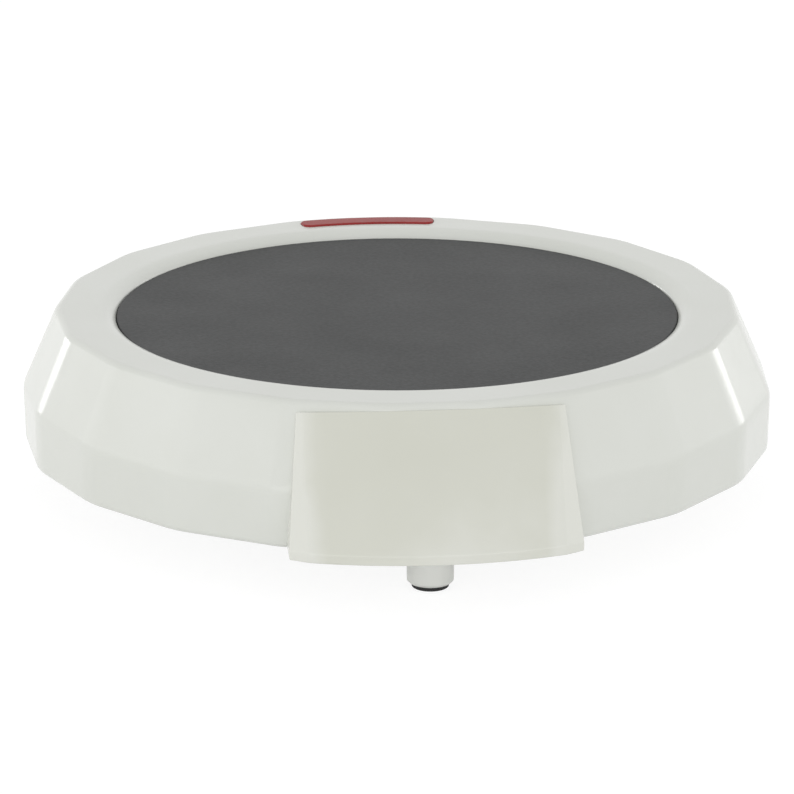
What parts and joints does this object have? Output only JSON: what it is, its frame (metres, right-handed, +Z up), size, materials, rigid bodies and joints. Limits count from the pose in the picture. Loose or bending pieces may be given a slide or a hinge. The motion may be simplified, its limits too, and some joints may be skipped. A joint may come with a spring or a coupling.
{
  "type": "candle warmer",
  "caption": "Round candle warmer: a recessed heated plate in a faceted white housing on small padded feet, with a wedge-shaped front panel and a red indicator lens.",
  "frame": {"origin": "on the surface that the warmer stands on, on the axis of the heated plate", "axes": "+Z up along the axis of the heated plate, +Y to the rear where the cord goes in, -Y to the front panel"},
  "size_m": [0.1396, 0.1516, 0.0354],
  "materials": {
    "housing_white": "glossy moulded white plastic",
    "panel_white": "glossy moulded white plastic, a little warmer than the housing",
    "base_white": "satin moulded white plastic",
    "foot_rubber": "matt black rubber",
    "gland_white": "satin white plastic",
    "lens_red": "clear red plastic",
    "inner_white": "plain white plastic",
    "lamp_glass": "clear glass",
    "resistor_tan": "matt lacquer",
    "plate_coating": "dark grey satin non-stick coating on an aluminium disc",
    "gasket_grey": "matt silicone",
    "mica": "pressed mica sheet",
    "resistance_metal": "resistance alloy",
    "bead_ceramic": "unglazed ceramic",
    "fibre_pad": "ceramic fibre felt",
    "zinc_steel": "zinc-plated steel",
    "fuse_metal": "plated case",
    "glass_sleeve": "woven glass fibre",
    "tinned_metal": "tinned metal",
    "brass": "plain brass",
    "wire_black": "black silicone insulation",
    "wire_white": "white silicone insulation"
  },
  "bodies": {
    "root": {"upper_housing": "housing_white", "front_panel": "panel_white", "base_cover": "base_white", "foot_front": "foot_rubber", "foot_rear_right": "foot_rubber", "foot_rear_left": "foot_rubber", "base_screws": "zinc_steel", "cord_gland": "gland_white", "indicator_lens": "lens_red", "lamp_holder": "inner_white", "lamp_screws": "zinc_steel", "neon_lamp": "lamp_glass", "lamp_resistor": "resistor_tan", "heating_plate": "plate_coating", "plate_gasket": "gasket_grey", "upper_mica": "mica", "heating_element": "resistance_metal", "lower_mica": "mica", "heater_terminals": "resistance_metal", "terminal_beads": "bead_ceramic", "insulation_pad": "fibre_pad", "support_bracket": "zinc_steel", "bracket_screws": "zinc_steel", "plate_washer": "zinc_steel", "plate_nut": "zinc_steel", "thermal_fuse": "fuse_metal", "fuse_sleeve": "glass_sleeve", "fuse_strap": "zinc_steel", "crimp_sleeves": "tinned_metal", "terminal_block": "bead_ceramic", "terminal_screws": "brass", "line_wire": "wire_black", "fuse_wire": "wire_black", "neutral_wire": "wire_white", "lamp_wire_line": "wire_black", "lamp_wire_neutral": "wire_white"}
  },
  "joints": []
}
